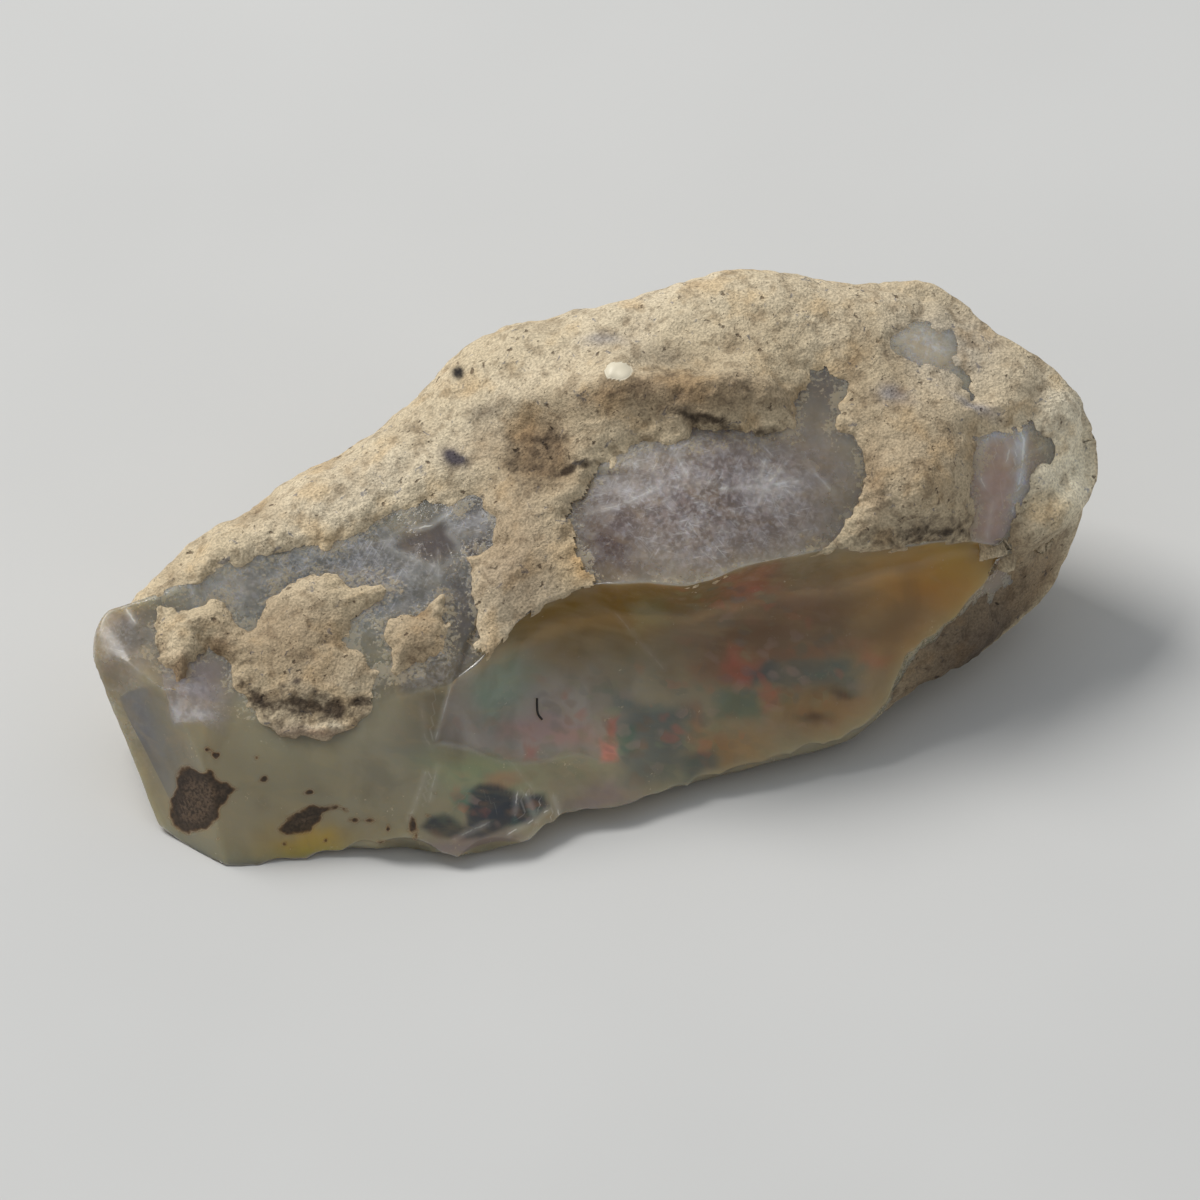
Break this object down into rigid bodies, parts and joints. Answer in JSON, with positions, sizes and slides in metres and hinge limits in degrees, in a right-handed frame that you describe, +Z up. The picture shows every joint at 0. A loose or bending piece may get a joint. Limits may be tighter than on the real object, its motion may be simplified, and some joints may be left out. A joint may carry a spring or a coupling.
{
  "type": "rough opal specimen",
  "caption": "Rough translucent opal with a hollow broken face and rough tan host rock left on its back, top and one end.",
  "frame": {"origin": "point on the flat underside that the stone rests on, near the middle of its length", "axes": "+X along the stone towards its blunt rock-covered end, +Y towards the rock-covered back, +Z up; the hollow broken opal face looks towards -Y"},
  "size_m": [0.0258, 0.0111, 0.0096],
  "materials": {
    "precious_opal": "polished by breaking, hazy where scratched",
    "host_rock": "matt, porous and gritty"
  },
  "bodies": {
    "root": {"opal": "precious_opal", "host_rock": "host_rock", "host_rock_island": "host_rock", "host_rock_islet": "host_rock"}
  },
  "joints": []
}
